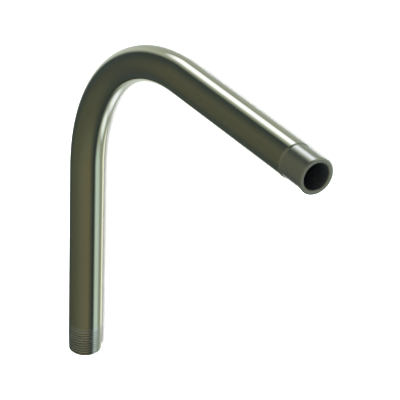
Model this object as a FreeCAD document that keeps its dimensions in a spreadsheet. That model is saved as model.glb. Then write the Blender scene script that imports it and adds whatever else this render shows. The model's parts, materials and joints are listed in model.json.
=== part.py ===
# Threaded pipe elbow: one length of half-inch schedule 40 pipe, bent through a right
# angle on a wide radius, with a long straight leg on each side of the bend. The first
# leg's tip has a tapered outside thread. The second leg's is turned down to a smooth neck
# that leaves a lip at the mouth. Millimetres. It lies flat, as it would come to rest: the
# centreline stays at half the pipe's outside diameter above the floor, the first leg
# points to -Y and the second to +X. Its origin is the middle of its box, at floor level.
import FreeCAD, Part
import math
import os
import Sketcher
from FreeCAD import Placement, Rotation, Vector

# Driving sizes, in mm unless the name says otherwise
SIZES = {
    "pipe_outside": "21.34",
    "pipe_wall": "2.77",
    "first_leg": "132",
    "second_leg": "132",
    "bend_radius": "106.7",
    "threads_per_inch": "14",
    "thread_taper": "16",
    "tip_chamfer": "0.7",
    "mouth_chamfer": "0.45",
    "neck_length": "20.3",
    "neck_depth": "0.5",
    "shoulder_run": "1.2",
    "lip_length": "1.3",
    "lip_back_run": "0.5",
    "lip_round": "0.6",
}

# What follows from the sizes. The crest cone is that of a general purpose tapered pipe
# thread: its thread is eight tenths of the pitch deep, and its pitch diameter at the tip is
# the pipe's diameter less an allowance in pitches, 1.1 and 0.05 for each inch of diameter.
# The helix itself is too fine for the solid.
WORKED_OUT = {
    "inch": "25.4",
    "outside_radius": "sizes.pipe_outside / 2",
    "bore_radius": "sizes.pipe_outside / 2 - sizes.pipe_wall",
    "first_reach": "sizes.bend_radius + sizes.first_leg",
    "second_reach": "sizes.bend_radius + sizes.second_leg",
    "slope": "1 / (2 * sizes.thread_taper)",
    "pitch": "worked.inch / sizes.threads_per_inch",
    "depth_in_pitches": "0.8",
    "depth": "worked.depth_in_pitches * worked.pitch",
    "allowance_per_inch": "0.05",
    "allowance_at_least": "1.1",
    "allowance": "worked.allowance_per_inch * sizes.pipe_outside / worked.inch + worked.allowance_at_least",
    "tip_pitch_diameter": "sizes.pipe_outside - worked.allowance * worked.pitch",
    "crest_at_tip": "(worked.tip_pitch_diameter + worked.depth) / 2",
    "crest_run": "(worked.outside_radius - worked.crest_at_tip) / worked.slope",
    "neck_radius": "worked.outside_radius - sizes.neck_depth",
    "overcut": "worked.pitch / 2",
}

# Each end: the sketch plane's turn about Z that brings its x along the leg and outwards,
# and where the tip lies from the point in which the two centrelines cross
ENDS = {
    "first": (-90, "AttachmentOffset.Base.y", "-worked.first_reach"),
    "second": (0, "AttachmentOffset.Base.x", "worked.second_reach"),
}

FULL_TURN = 360


def fill_sheet(doc):
    """The driving sizes, one named cell each."""
    sheet = doc.addObject("Spreadsheet::Sheet", "sizes")
    for row, (name, value) in enumerate(SIZES.items(), start=1):
        sheet.set(f"A{row}", name)
        sheet.set(f"B{row}", value)
        sheet.setAlias(f"B{row}", name)
    doc.recompute()
    return sheet


def fill_worked(doc):
    """The sizes that follow from the driving ones, each bound to its rule."""
    worked = doc.addObject("App::VarSet", "worked")
    for name, rule in WORKED_OUT.items():
        worked.addProperty("App::PropertyFloat", name, "Follows")
        worked.setExpression(name, rule.replace("worked.", ""))
        doc.recompute()
    return worked


def origin_plane(body, role):
    """One of the body's own origin planes."""
    return next(part for part in body.Origin.OriginFeatures if part.Role == role)


def new_sketch(body, name, role):
    """An empty sketch on one of the body's origin planes."""
    sketch = body.newObject("Sketcher::SketchObject", name)
    sketch.AttachmentSupport = [(origin_plane(body, role), "")]
    sketch.MapMode = "FlatFace"
    return sketch


def hold(sketch, direction, geometry, vertex, rule):
    """Keeps one coordinate of a point at what the rule gives, counted from the origin."""
    value = float(sketch.evalExpression(rule))
    index = sketch.addConstraint(Sketcher.Constraint(direction, -1, 1, geometry, vertex, value))
    sketch.setExpression(f"Constraints[{index}]", rule)


def rounded_edge(start, end, radius):
    """An arc from start to end that bulges to the right of the way it goes."""
    half = (end - start) / 2
    aside = math.sqrt(radius**2 - half.Length**2)
    centre = start + half + Vector(-half.y, half.x, 0).normalize() * aside
    angles = [math.atan2(point.y - centre.y, point.x - centre.x) for point in (start, end)]
    return Part.ArcOfCircle(Part.Circle(centre, Vector(0, 0, 1), radius), *angles)


def draw_outline(sketch, corners, rounded=None):
    """A closed outline through corners, each given by its two rules, with straight edges.
    Where rounded gives the rule of a radius, the first edge is an arc."""
    first = sketch.GeometryCount
    points = []
    for along, out in corners:
        points.append(Vector(float(sketch.evalExpression(along)), float(sketch.evalExpression(out)), 0))
    edges = [Part.LineSegment(start, end) for start, end in zip(points, points[1:] + points[:1])]
    if rounded:
        radius = float(sketch.evalExpression(rounded))
        edges[0] = rounded_edge(points[0], points[1], radius)
    for edge in edges:
        sketch.addGeometry(edge)
    if rounded:
        index = sketch.addConstraint(Sketcher.Constraint("Radius", first, radius))
        sketch.setExpression(f"Constraints[{index}]", rounded)
    count = len(corners)
    for number, (along, out) in enumerate(corners):
        after = first + (number + 1) % count
        sketch.addConstraint(Sketcher.Constraint("Coincident", first + number, 2, after, 1))
        hold(sketch, "DistanceX", first + number, 1, along)
        hold(sketch, "DistanceY", first + number, 1, out)


def draw_ring(sketch, rules):
    """Circles about the sketch's origin, each with the radius that its rule gives."""
    for rule in rules:
        radius = float(sketch.evalExpression(rule))
        circle = sketch.addGeometry(Part.Circle(Vector(), Vector(0, 0, 1), radius))
        sketch.addConstraint(Sketcher.Constraint("Coincident", circle, 3, -1, 1))
        index = sketch.addConstraint(Sketcher.Constraint("Radius", circle, radius))
        sketch.setExpression(f"Constraints[{index}]", rule)


def draw_centreline(body):
    """First leg up the y axis, quarter bend, second leg along the x axis."""
    sketch = new_sketch(body, "centreline", "XY_Plane")
    bend = float(sketch.evalExpression("sizes.bend_radius"))
    low = -float(sketch.evalExpression("worked.first_reach"))
    far = float(sketch.evalExpression("worked.second_reach"))
    circle = Part.Circle(Vector(bend, -bend, 0), Vector(0, 0, 1), bend)
    sketch.addGeometry(Part.LineSegment(Vector(0, low, 0), Vector(0, -bend, 0)))
    sketch.addGeometry(Part.ArcOfCircle(circle, math.pi / 2, math.pi))
    sketch.addGeometry(Part.LineSegment(Vector(bend, 0, 0), Vector(far, 0, 0)))
    sketch.addConstraint(Sketcher.Constraint("PointOnObject", 0, 1, -2))
    sketch.addConstraint(Sketcher.Constraint("PointOnObject", 0, 2, -2))
    sketch.addConstraint(Sketcher.Constraint("PointOnObject", 2, 1, -1))
    sketch.addConstraint(Sketcher.Constraint("PointOnObject", 2, 2, -1))
    sketch.addConstraint(Sketcher.Constraint("Tangent", 0, 2, 1, 2))
    sketch.addConstraint(Sketcher.Constraint("Tangent", 1, 1, 2, 1))
    radius = sketch.addConstraint(Sketcher.Constraint("Radius", 1, bend))
    sketch.setExpression(f"Constraints[{radius}]", "sizes.bend_radius")
    hold(sketch, "DistanceY", 0, 1, "-worked.first_reach")
    hold(sketch, "DistanceX", 2, 2, "worked.second_reach")
    return sketch


def sweep_pipe(body):
    """The plain bent pipe: its ring section carried along the centreline."""
    centreline = draw_centreline(body)
    section = new_sketch(body, "section", "XZ_Plane")
    section.setExpression("AttachmentOffset.Base.z", "worked.first_reach")
    draw_ring(section, ("worked.outside_radius", "worked.bore_radius"))
    pipe = body.newObject("PartDesign::AdditivePipe", "bent_tube")
    pipe.Profile = section
    pipe.Spine = centreline
    body.Document.recompute()
    return pipe


def end_sketch(body, end, name):
    """A sketch at one end: x runs outwards along the leg from the tip, y away from its axis."""
    turn, place, rule = ENDS[end]
    sketch = new_sketch(body, f"{end}_{name}", "XY_Plane")
    sketch.AttachmentOffset = Placement(Vector(), Rotation(Vector(0, 0, 1), turn))
    sketch.setExpression(place, rule)
    return sketch


def cut_round(body, end, sketch):
    """Cuts the sketch's outlines away, all round the leg."""
    groove = body.newObject("PartDesign::Groove", f"{end}_turned_tip")
    groove.Profile = sketch
    groove.ReferenceAxis = (sketch, ["H_Axis"])
    groove.Angle = FULL_TURN
    return groove


def draw_mouth(sketch):
    """The broken inner edge of a mouth."""
    draw_outline(
        sketch,
        (
            ("-sizes.mouth_chamfer", "worked.bore_radius"),
            ("worked.overcut", "worked.bore_radius + sizes.mouth_chamfer + worked.overcut"),
            ("worked.overcut", "worked.bore_radius / 2"),
            ("-sizes.mouth_chamfer", "worked.bore_radius / 2"),
        ),
    )


def turn_threaded_tip(body, end):
    """Turns the tip down to the thread's crest cone and breaks its outer and inner edges."""
    sketch = end_sketch(body, end, "turning")
    draw_outline(
        sketch,
        (
            ("-worked.crest_run", "worked.outside_radius"),
            ("-sizes.tip_chamfer", "worked.crest_at_tip + sizes.tip_chamfer * worked.slope"),
            ("worked.overcut", "worked.crest_at_tip - sizes.tip_chamfer - worked.overcut"),
            ("worked.overcut", "worked.outside_radius + worked.overcut"),
            ("-worked.crest_run", "worked.outside_radius + worked.overcut"),
        ),
    )
    draw_mouth(sketch)
    return cut_round(body, end, sketch)


def turn_necked_tip(body, end):
    """Turns a neck between a sloping shoulder and the lip, and rounds the lip's outer edge."""
    sketch = end_sketch(body, end, "turning")
    draw_outline(
        sketch,
        (
            ("-sizes.neck_length", "worked.outside_radius"),
            ("sizes.shoulder_run - sizes.neck_length", "worked.neck_radius"),
            ("-sizes.lip_length - sizes.lip_back_run", "worked.neck_radius"),
            ("-sizes.lip_length", "worked.outside_radius"),
            ("-sizes.lip_length", "worked.outside_radius + worked.overcut"),
            ("-sizes.neck_length", "worked.outside_radius + worked.overcut"),
        ),
    )
    draw_outline(
        sketch,
        (
            ("0", "worked.outside_radius - sizes.lip_round"),
            ("-sizes.lip_round", "worked.outside_radius"),
            ("-sizes.lip_round", "worked.outside_radius + worked.overcut"),
            ("worked.overcut", "worked.outside_radius + worked.overcut"),
            ("worked.overcut", "worked.outside_radius - sizes.lip_round"),
        ),
        rounded="sizes.lip_round",
    )
    draw_mouth(sketch)
    return cut_round(body, end, sketch)


def must_change(body, cut, before):
    """Stops if a cut took nothing off the pipe."""
    body.Document.recompute()
    after = cut.Shape.Volume
    if after >= before:
        raise RuntimeError(f"{cut.Name} left the volume at {after:.3f} from {before:.3f}")
    return after


def build_elbow(doc):
    """The whole elbow as one body."""
    body = doc.addObject("PartDesign::Body", "threaded_elbow")
    body.Label = "threaded_elbow"
    volume = sweep_pipe(body).Shape.Volume
    volume = must_change(body, turn_threaded_tip(body, "first"), volume)
    must_change(body, turn_necked_tip(body, "second"), volume)
    body.setExpression("Placement.Base.x", "-(worked.second_reach - worked.outside_radius) / 2")
    body.setExpression("Placement.Base.y", "(worked.first_reach - worked.outside_radius) / 2")
    body.setExpression("Placement.Base.z", "worked.outside_radius")
    doc.recompute()
    return body


def check_document(doc):
    """Every object has to be up to date."""
    for item in doc.Objects:
        if "Invalid" in item.State or "Error" in item.State:
            raise RuntimeError(f"{item.Label} did not compute: {item.State}")


def write_parts(bodies):
    """One file for each sub-part, after a look at its solid."""
    os.makedirs("parts", exist_ok=True)
    for body in bodies:
        shape = body.Shape
        if shape.isNull() or not shape.isValid():
            raise RuntimeError(f"{body.Label} has no valid shape")
        shape.exportStep(f"parts/{body.Label}.step")
        box = shape.optimalBoundingBox(False)
        print(body.Label, "solids", len(shape.Solids), "volume", round(shape.Volume, 2), "mm3")
        print("box", [round(value, 3) for value in (box.XLength, box.YLength, box.ZLength)])


doc = FreeCAD.newDocument("threaded_elbow")
fill_sheet(doc)
fill_worked(doc)
elbow = build_elbow(doc)
check_document(doc)
write_parts([elbow])
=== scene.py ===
import json
import math

import bmesh
import bpy
import numpy as np
from mathutils import Matrix, Vector


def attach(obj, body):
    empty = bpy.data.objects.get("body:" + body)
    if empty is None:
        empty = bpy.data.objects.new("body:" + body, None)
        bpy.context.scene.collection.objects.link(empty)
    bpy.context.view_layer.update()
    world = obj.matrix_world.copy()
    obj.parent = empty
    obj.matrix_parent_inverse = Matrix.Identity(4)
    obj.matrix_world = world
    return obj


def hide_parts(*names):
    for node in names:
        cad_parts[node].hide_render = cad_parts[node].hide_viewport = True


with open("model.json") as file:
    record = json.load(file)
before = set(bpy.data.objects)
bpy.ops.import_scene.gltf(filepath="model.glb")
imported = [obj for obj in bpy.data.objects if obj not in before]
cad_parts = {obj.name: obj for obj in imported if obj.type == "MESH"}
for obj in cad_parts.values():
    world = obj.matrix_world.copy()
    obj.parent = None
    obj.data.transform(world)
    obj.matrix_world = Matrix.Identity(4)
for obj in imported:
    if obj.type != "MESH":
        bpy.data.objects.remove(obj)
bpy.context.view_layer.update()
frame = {"record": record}

# The looks of a bent pipe with a tapered thread on its first end and a smooth neck with a
# lip on its second. Metres, in the frame of the solid model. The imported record's mounts
# give the pipe's axes, radii and lengths, and what they don't say is named here.
MM = 0.001
NODE = "threaded_elbow"

# Thread: right-handed, half-inch size of the general purpose tapered pipe thread, with
# shallower grooves. The slope is on the radius, and the root's flat is a share of the pitch.
PITCH = 25.4 / 14 * MM
THREAD_DEPTH = 0.45 * PITCH
CREST_AT_TIP = 10.360 * MM
THREAD_SLOPE = 1 / 32
RUN_OUT = 1.25 * PITCH
FLANK_STEEPNESS = math.tan(math.radians(60))
ROOT_FLAT = 0.038
TIP_CHAMFER = 0.7 * MM
MOUTH_CHAMFER = 0.45 * MM

# Neck of the second end, as in the solid
NECK_LENGTH = 20.3 * MM
SHOULDER_RUN = 1.2 * MM
LIP_LENGTH = 1.3 * MM
LIP_BACK_RUN = 0.5 * MM
LIP_ROUND = 0.6 * MM
BORE_MOUNT_DEPTH = 1.0 * MM

# How finely the skin is divided. A support row lies close to an edge, so that the shading
# stays even beyond it.
ROUND = 128
FLANK_SAMPLES = 7
BEND_STEPS = 72
LEG_STEPS = 6
EDGE_STEPS = 8
SUPPORT = 0.1 * MM
SHARP_EDGE = math.radians(28)
WELD = 0.0005 * MM

# Camera, from the fit of the pipe's outline to the photograph: angles in degrees, azimuth
# counted from +X towards +Y
CAMERA_AZIMUTH = 33.675
CAMERA_ELEVATION = 28.563
CAMERA_ROLL = -105.577
CAMERA_DISTANCE = 1.4228
CAMERA_TARGET = Vector((0.0140, 0.0461, 0.0107))
CAMERA_LENS = 225
CAMERA_SENSOR = 36

# Finishes in the order of the pipe's materials
FINISHES = ("skin", "thread", "neck", "face", "bore")

# Colours of the metal
PLATED_GREEN = (0.350, 0.365, 0.262)
PLATED_BROWN = (0.352, 0.350, 0.250)
CUT_STEEL = (0.410, 0.430, 0.370)
CUT_DULL = (0.370, 0.385, 0.325)
NECK_STEEL = (0.265, 0.277, 0.222)
NECK_DULL = (0.290, 0.300, 0.230)
FACED_STEEL = (0.135, 0.135, 0.100)
FACED_DULL = (0.170, 0.165, 0.125)
# Inside the bore: painted shade, much darker than the skin's metal, in two tones mixed by noise
BORE_SHADE = (0.100, 0.120, 0.130)
BORE_SHADE_DARK = (0.050, 0.055, 0.055)

# Noise on the metal: how fine its detail is, and the range that most of it lies in
NOISE_DETAIL = 3.0
NOISE_RANGE = (0.35, 0.65)

# Floor and even light
FLOOR_WHITE = (0.90, 0.90, 0.90)
FLOOR_ROUGHNESS = 0.9
FLOOR_HALF = 2.0
TENT_STRENGTH = 4.0


def mount(name):
    """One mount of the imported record."""
    return next(entry for entry in frame["record"]["mounts"] if entry["name"] == name)


class Pipe:
    """The pipe's centreline and radii, as the record's mounts place them."""

    def __init__(self):
        first = mount("first_leg_thread")
        second = mount("second_leg_bore")
        self.outside = mount("first_leg_outside")["dims"]["r_mm"] * MM
        self.bore = mount("first_leg_bore")["dims"]["r_mm"] * MM
        self.neck = mount("second_leg_neck")["dims"]["r_mm"] * MM
        self.thread = first["dims"]["length_mm"] * MM
        self.leg = mount("first_leg_bore")["dims"]["length_mm"] * MM + MOUTH_CHAMFER
        self.up = np.array((0.0, 0.0, 1.0))
        self.in_first = -np.array(first["axis"], float)
        self.out_second = np.array(second["axis"], float)
        first_tip = np.array(first["pos_m"])
        second_tip = np.array(second["pos_m"]) + BORE_MOUNT_DEPTH * self.out_second
        reach = float((second_tip - first_tip) @ self.in_first)
        self.bend = reach - self.leg
        corner = first_tip + reach * self.in_first
        self.centre = corner + self.bend * (self.out_second - self.in_first)
        self.length = 2 * self.leg + self.bend * math.pi / 2

    def point(self, along, radius, angle):
        """Where a point of the straight pipe lies once the pipe is bent."""
        turn = np.clip((along - self.leg) / self.bend, 0, math.pi / 2)
        beyond = (along - self.leg - self.bend * turn)[..., None]
        sine, cosine = np.sin(turn)[..., None], np.cos(turn)[..., None]
        outwards = sine * self.in_first - cosine * self.out_second
        onwards = cosine * self.in_first + sine * self.out_second
        aside = (self.bend + radius * np.cos(angle))[..., None]
        rise = (radius * np.sin(angle))[..., None]
        return self.centre + aside * outwards + beyond * onwards + rise * self.up


def thread_radius(pipe, depth_in, phase):
    """Radius of the threaded end, a distance in from the tip and at a phase of the helix."""
    full = pipe.thread - RUN_OUT
    crest = CREST_AT_TIP + THREAD_SLOPE * depth_in
    root = CREST_AT_TIP - THREAD_DEPTH + THREAD_SLOPE * np.minimum(depth_in, full)
    shallower = np.clip((depth_in - full) / RUN_OUT, 0, 1)
    root = root + shallower * (pipe.outside - CREST_AT_TIP + THREAD_DEPTH - THREAD_SLOPE * full)
    from_root = np.abs(phase % 1 - 0.5)
    flank = root + FLANK_STEEPNESS * PITCH * np.maximum(0, from_root - ROOT_FLAT / 2)
    chamfer = CREST_AT_TIP - TIP_CHAMFER + depth_in
    return np.minimum.reduce([crest, flank, chamfer, np.full_like(crest, pipe.outside)])


def thread_rows(pipe, angle):
    """Rows that follow the helix from the tip inwards, each a distance and a radius per angle."""
    crest_half = 0.5 - ROOT_FLAT / 2 - THREAD_DEPTH / PITCH / FLANK_STEEPNESS
    flank = np.linspace(crest_half, 0.5 - ROOT_FLAT / 2, FLANK_SAMPLES)
    phases = np.concatenate([[0, crest_half / 2], flank, 1 - flank[::-1], [1 - crest_half / 2]])
    turns = math.ceil(pipe.thread / PITCH) + 1
    part_turn = angle_share(angle)
    offset = part_turn - 1
    rows = []
    for turn in range(turns):
        for phase in phases:
            depth_in = np.clip(PITCH * (turn + phase + offset), 0, pipe.thread)
            rows.append((depth_in, thread_radius(pipe, depth_in, depth_in / PITCH - offset)))
    whole = np.full_like(part_turn, pipe.thread)
    rows.append((whole, thread_radius(pipe, whole, whole / PITCH - offset)))
    return rows


def angle_share(angle):
    """Share of a full turn from the first column, which lies underneath."""
    return (angle - angle[0]) / (2 * math.pi)


def neck_rows(pipe):
    """The second end's outline from its shoulder to its mouth: distances in and radii."""
    rows = []
    rise = np.linspace(0, 1, EDGE_STEPS + 1)
    eased = rise * rise * (3 - 2 * rise)
    for run, height in zip(rise, eased):
        radius = pipe.outside + height * (pipe.neck - pipe.outside)
        rows.append((NECK_LENGTH - run * SHOULDER_RUN, radius))
    rows.append((NECK_LENGTH - SHOULDER_RUN - SUPPORT, pipe.neck))
    rows.append((LIP_LENGTH + LIP_BACK_RUN + SUPPORT, pipe.neck))
    for run, height in zip(rise, eased):
        radius = pipe.neck + height * (pipe.outside - pipe.neck)
        rows.append((LIP_LENGTH + (1 - run) * LIP_BACK_RUN, radius))
    for turn in rise * math.pi / 2:
        inwards = LIP_ROUND * (1 - math.sin(turn))
        rows.append((inwards, pipe.outside - LIP_ROUND * (1 - math.cos(turn))))
    return rows


def pipe_rows(pipe, angle):
    """All rows of the skin, tip to tip outside and back through the bore, with their finish."""
    level = np.ones_like(angle)
    rows = []
    for depth_in, radius in thread_rows(pipe, angle):
        rows.append((depth_in, radius, "thread"))
    stations = np.concatenate([
        [pipe.thread + SUPPORT],
        np.linspace(pipe.thread, pipe.leg, LEG_STEPS + 1)[1:],
        np.linspace(pipe.leg, pipe.length - pipe.leg, BEND_STEPS + 1)[1:],
        np.linspace(pipe.length - pipe.leg, pipe.length - NECK_LENGTH, LEG_STEPS + 1)[1:-1],
        [pipe.length - NECK_LENGTH - SUPPORT],
    ])
    for station in stations:
        rows.append((station * level, pipe.outside * level, "skin"))
    for depth_in, radius in neck_rows(pipe):
        rows.append(((pipe.length - depth_in) * level, radius * level, "neck"))
    face = pipe.bore + MOUTH_CHAMFER
    rows.append((pipe.length * level, face * level, "face"))
    rows.append(((pipe.length - MOUTH_CHAMFER) * level, pipe.bore * level, "face"))
    stations = np.concatenate([
        np.linspace(pipe.leg, MOUTH_CHAMFER, LEG_STEPS + 1)[1:],
        np.linspace(pipe.length - pipe.leg, pipe.leg, BEND_STEPS + 1),
        np.linspace(pipe.length - MOUTH_CHAMFER, pipe.length - pipe.leg, LEG_STEPS + 1)[1:-1],
    ])
    for station in sorted(stations, reverse=True):
        rows.append((station * level, pipe.bore * level, "bore"))
    rows.append((0 * level, face * level, "face"))
    return rows


def build_pipe(pipe):
    """The whole pipe as one closed mesh, with its place in the straight pipe kept per point."""
    angle = np.linspace(-math.pi / 2, 1.5 * math.pi, ROUND + 1)
    rows = pipe_rows(pipe, angle)
    along = np.array([row[0] for row in rows])
    radius = np.array([row[1] for row in rows])
    points = pipe.point(along, radius, angle[None, :])
    straight = np.stack([radius * np.cos(angle), radius * np.sin(angle), along], axis=-1)
    faces, finishes = [], []
    width = ROUND + 1
    for row in range(len(rows)):
        after = (row + 1) % len(rows)
        finish = FINISHES.index(rows[after][2])
        for column in range(ROUND):
            here, there = row * width + column, after * width + column
            faces.append((here, here + 1, there + 1, there))
            finishes.append(finish)
    mesh = bpy.data.meshes.new("threaded_pipe")
    mesh.from_pydata(points.reshape(-1, 3).tolist(), [], faces)
    place = mesh.attributes.new("straight_pipe", "FLOAT_VECTOR", "POINT")
    place.data.foreach_set("vector", straight.astype(np.float32).ravel())
    mesh.polygons.foreach_set("material_index", finishes)
    weld(mesh)
    return mesh


def weld(mesh):
    """Joins the seam and the rows that meet at the ends, and marks the sharp edges."""
    work = bmesh.new()
    work.from_mesh(mesh)
    bmesh.ops.remove_doubles(work, verts=work.verts, dist=WELD)
    bmesh.ops.recalc_face_normals(work, faces=work.faces)
    for face in work.faces:
        face.smooth = True
    for edge in work.edges:
        edge.smooth = edge.is_manifold and edge.calc_face_angle(0) < SHARP_EDGE
    work.to_mesh(mesh)
    work.free()


def node(tree, kind, **values):
    """A shader node with its properties and input values set by name."""
    made = tree.nodes.new(kind)
    for name, value in values.items():
        if name in made.inputs:
            made.inputs[name].default_value = value
        else:
            setattr(made, name, value)
    return made


def new_material(name):
    """An empty node material with its output, and a principled shader wired to it."""
    material = bpy.data.materials.new(name)
    material.use_nodes = True
    tree = material.node_tree
    tree.nodes.clear()
    shader = node(tree, "ShaderNodeBsdfPrincipled")
    output = node(tree, "ShaderNodeOutputMaterial")
    tree.links.new(shader.outputs["BSDF"], output.inputs["Surface"])
    return material, tree, shader


def pipe_noise(tree, across, along, detail=NOISE_DETAIL):
    """Noise laid on the straight pipe, so many per metre across it and along it."""
    place = node(tree, "ShaderNodeAttribute", attribute_name="straight_pipe")
    stretch = node(tree, "ShaderNodeVectorMath", operation="MULTIPLY")
    stretch.inputs[1].default_value = (across, across, along)
    noise = node(tree, "ShaderNodeTexNoise", Scale=1.0, Detail=detail)
    tree.links.new(place.outputs["Vector"], stretch.inputs[0])
    tree.links.new(stretch.outputs["Vector"], noise.inputs["Vector"])
    return noise.outputs["Fac"]


def spread(tree, factor, start, end, low=0, high=1):
    """A value from low to high as the factor goes from start to end."""
    ranged = node(tree, "ShaderNodeMapRange")
    for name, value in (("From Min", start), ("From Max", end), ("To Min", low), ("To Max", high)):
        ranged.inputs[name].default_value = value
    tree.links.new(factor, ranged.inputs["Value"])
    return ranged.outputs["Result"]


def mix_colours(tree, factor, one, other):
    """Colour between two, each a fixed one or what another node gives."""
    mixed = node(tree, "ShaderNodeMix", data_type="RGBA")
    tree.links.new(factor, mixed.inputs["Factor"])
    sockets = [socket for socket in mixed.inputs if socket.type == "RGBA"]
    for socket, colour in zip(sockets, (one, other)):
        if isinstance(colour, tuple):
            socket.default_value = (*colour, 1)
        else:
            tree.links.new(colour, socket)
    return next(socket for socket in mixed.outputs if socket.type == "RGBA")


def bumped(tree, shader, height, depth):
    """Gives the shader a relief of that depth in metres."""
    bump = node(tree, "ShaderNodeBump", Strength=1.0, Distance=depth)
    tree.links.new(height, bump.inputs["Height"])
    tree.links.new(bump.outputs["Normal"], shader.inputs["Normal"])


def metal(name, tones, cells, roughness, relief=0, detail=NOISE_DETAIL, tone_cells=None):
    """A metal with noise on it, so many cells per metre across the pipe and along it.

    The noise sets how rough the metal is and its relief in metres. It also mixes the two
    tones, unless tone cells give them a noise of their own.
    """
    material, tree, shader = new_material(name)
    shader.inputs["Metallic"].default_value = 1.0
    marks = pipe_noise(tree, *cells, detail)
    shades = pipe_noise(tree, *tone_cells) if tone_cells else marks
    tone = mix_colours(tree, spread(tree, shades, *NOISE_RANGE), *tones)
    tree.links.new(tone, shader.inputs["Base Color"])
    rough = spread(tree, marks, *NOISE_RANGE, *roughness)
    tree.links.new(rough, shader.inputs["Roughness"])
    if relief:
        bumped(tree, shader, marks, relief)
    return material


def pipe_metals():
    """The pipe's materials, in the order of its finishes."""
    # Smooth plated steel: faint drawing lines along the pipe, and a cloudy colour
    skin = metal(
        "plated_skin", (PLATED_GREEN, PLATED_BROWN), cells=(1400, 9), detail=2.0,
        roughness=(0.07, 0.10), relief=0.0006 * MM, tone_cells=(40, 12),
    )
    # Freshly cut thread: bare, duller and finely marked by the die round the pipe
    thread = metal(
        "cut_thread", (CUT_STEEL, CUT_DULL), cells=(60, 300), detail=2.0,
        roughness=(0.11, 0.16),
    )
    # Turned neck: a softer shine than the skin's, with faint marks round the pipe
    neck = metal(
        "turned_neck", (NECK_STEEL, NECK_DULL), cells=(40, 4000), detail=2.0,
        roughness=(0.18, 0.22), relief=0.0004 * MM,
    )
    # Sawn and deburred end, duller than the skin
    face = metal(
        "faced_end", (FACED_STEEL, FACED_DULL), cells=(1500, 1500),
        roughness=(0.30, 0.40), relief=0.004 * MM,
    )
    # Dark mill scale inside the bore
    # Inside of the bore: painted shade of the hollow, much darker than the skin's metal, with a
    # darker tone mixed in by noise
    bore = metal(
        "bore_painted_shade", (BORE_SHADE, BORE_SHADE_DARK), cells=(300, 90),
        roughness=(0.45, 0.62), relief=0.02 * MM,
    )
    return skin, thread, neck, face, bore


def dress_pipe():
    """Puts the finished pipe in place of the solid node."""
    pipe = Pipe()
    mesh = build_pipe(pipe)
    for material in pipe_metals():
        mesh.materials.append(material)
    piece = bpy.data.objects.new("threaded_pipe", mesh)
    bpy.context.scene.collection.objects.link(piece)
    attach(piece, "root")
    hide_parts(NODE)


# What the metal mirrors. Overhead the studio is dimmer behind the pipe and warmer on the
# camera's side: each stop is a level from -1, behind, to 1, with its colour. A dark band
# lies round the horizon. Below it is a pale ground, paler near the band, with soft lights.
OVERHEAD = (
    (-1.0, (0.10, 0.11, 0.10)),
    (-0.8, (0.16, 0.165, 0.13)),
    (-0.5, (0.18, 0.18, 0.14)),
    (0.0, (0.25, 0.255, 0.195)),
    (0.35, (0.31, 0.27, 0.19)),
)
HORIZON = (0.08, 0.105, 0.115)
GROUND_EDGE = (1.00, 1.05, 1.00)
GROUND = (0.64, 0.69, 0.64)

# The horizon is tipped, down at one azimuth. By height over it, from -1 to 1, the ground
# pales, fades into the dark band, and the band fades into the studio overhead.
HORIZON_TIP = math.radians(12)
HORIZON_LOW_AZIMUTH = math.radians(-13)
GROUND_PALES = (-0.65, -0.30)
GROUND_FADE = (-0.33, -0.12)
OVERHEAD_FADE = (0.04, 0.42)

# Each light on the ground: where it lies, its colour, and how many degrees from its middle
# it is full and gone
GROUND_LIGHTS = (
    ((-0.74, 0.56, -0.37), (3.0, 3.0, 3.8), 4, 14),
    ((0.63, -0.50, -0.60), (1.25, 1.48, 1.62), 8, 22),
    ((0.12, -0.84, -0.53), (2.0, 2.2, 2.6), 5, 14),
    ((-0.25, -0.86, -0.45), (1.9, 2.0, 2.3), 5, 14),
    ((-0.25, -0.47, -0.85), (1.9, 1.9, 1.7), 5, 14),
)


def level_ramp(tree, level, stops):
    """Colour by a level from -1 to 1, through the stops."""
    ramp = node(tree, "ShaderNodeValToRGB")
    elements = ramp.color_ramp.elements
    while len(elements) < len(stops):
        elements.new(0.5)
    for element, (height, colour) in zip(elements, stops):
        element.position = (height + 1) / 2
        element.color = (*colour, 1)
    tree.links.new(spread(tree, level, -1, 1), ramp.inputs["Fac"])
    return ramp.outputs["Color"]


def toward(tree, direction):
    """How far the ray goes toward a direction, from -1 to 1."""
    ray = node(tree, "ShaderNodeTexCoord")
    dot = node(tree, "ShaderNodeVectorMath", operation="DOT_PRODUCT")
    dot.inputs[1].default_value = Vector(direction).normalized()
    tree.links.new(ray.outputs["Generated"], dot.inputs[0])
    return dot.outputs["Value"]


def mirrored_room(tree):
    """Colour of the surroundings that the metal mirrors."""
    azimuth = math.radians(CAMERA_AZIMUTH)
    facing = toward(tree, (math.cos(azimuth), math.sin(azimuth), 0))
    overhead = level_ramp(tree, facing, OVERHEAD)
    aside = math.sin(HORIZON_TIP)
    low_x, low_y = aside * math.cos(HORIZON_LOW_AZIMUTH), aside * math.sin(HORIZON_LOW_AZIMUTH)
    height = toward(tree, (low_x, low_y, math.cos(HORIZON_TIP)))
    below = mix_colours(tree, spread(tree, height, *GROUND_PALES), GROUND, GROUND_EDGE)
    for place, colour, full, gone in GROUND_LIGHTS:
        start, end = math.cos(math.radians(gone)), math.cos(math.radians(full))
        shown = spread(tree, toward(tree, place), start, end)
        below = mix_colours(tree, shown, below, colour)
    low = mix_colours(tree, spread(tree, height, *GROUND_FADE), below, HORIZON)
    return mix_colours(tree, spread(tree, height, *OVERHEAD_FADE), low, overhead)


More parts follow.
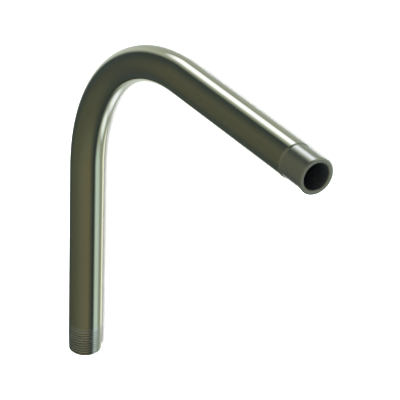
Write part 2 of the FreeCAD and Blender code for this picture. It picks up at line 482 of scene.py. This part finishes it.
def light_studio():
    """Even pale light from all round, with the room that the metal mirrors."""
    world = bpy.data.worlds.new("studio")
    bpy.context.scene.world = world
    world.use_nodes = True
    tree = world.node_tree
    tree.nodes.clear()
    tent = node(tree, "ShaderNodeBackground", Color=(1, 1, 1, 1), Strength=TENT_STRENGTH)
    mirrored = node(tree, "ShaderNodeBackground", Strength=1.0)
    tree.links.new(mirrored_room(tree), mirrored.inputs["Color"])
    path = node(tree, "ShaderNodeLightPath")
    choose = node(tree, "ShaderNodeMixShader")
    output = node(tree, "ShaderNodeOutputWorld")
    tree.links.new(path.outputs["Is Glossy Ray"], choose.inputs["Fac"])
    tree.links.new(tent.outputs["Background"], choose.inputs[1])
    tree.links.new(mirrored.outputs["Background"], choose.inputs[2])
    tree.links.new(choose.outputs["Shader"], output.inputs["Surface"])


def lay_floor():
    """A plain pale floor under the pipe. The metal mirrors the studio's own ground instead."""
    signs = ((-1, -1), (1, -1), (1, 1), (-1, 1))
    corners = [(x * FLOOR_HALF, y * FLOOR_HALF, 0) for x, y in signs]
    mesh = bpy.data.meshes.new("floor")
    mesh.from_pydata(corners, [], [(0, 1, 2, 3)])
    material, tree, shader = new_material("pale_floor")
    shader.inputs["Base Color"].default_value = (*FLOOR_WHITE, 1)
    shader.inputs["Roughness"].default_value = FLOOR_ROUGHNESS
    mesh.materials.append(material)
    floor = bpy.data.objects.new("floor", mesh)
    floor.visible_glossy = False
    bpy.context.scene.collection.objects.link(floor)


def place_camera():
    """The camera at the photograph's viewing angle."""
    azimuth = math.radians(CAMERA_AZIMUTH)
    elevation = math.radians(CAMERA_ELEVATION)
    level = math.cos(elevation)
    back = Vector((math.cos(azimuth) * level, math.sin(azimuth) * level, math.sin(elevation)))
    across = Vector((0, 0, 1)).cross(back).normalized()
    turned = Matrix.Rotation(math.radians(CAMERA_ROLL), 3, back)
    right = turned @ across
    axes = Matrix((right, back.cross(right), back)).transposed()
    data = bpy.data.cameras.new("camera")
    data.lens = CAMERA_LENS
    data.sensor_width = CAMERA_SENSOR
    camera = bpy.data.objects.new("camera", data)
    spot = Matrix.Translation(CAMERA_TARGET + CAMERA_DISTANCE * back)
    camera.matrix_world = spot @ axes.to_4x4()
    bpy.context.scene.collection.objects.link(camera)
    bpy.context.scene.camera = camera


bpy.context.scene.view_settings.view_transform = "Standard"
place_camera()
lay_floor()
light_studio()
dress_pipe()
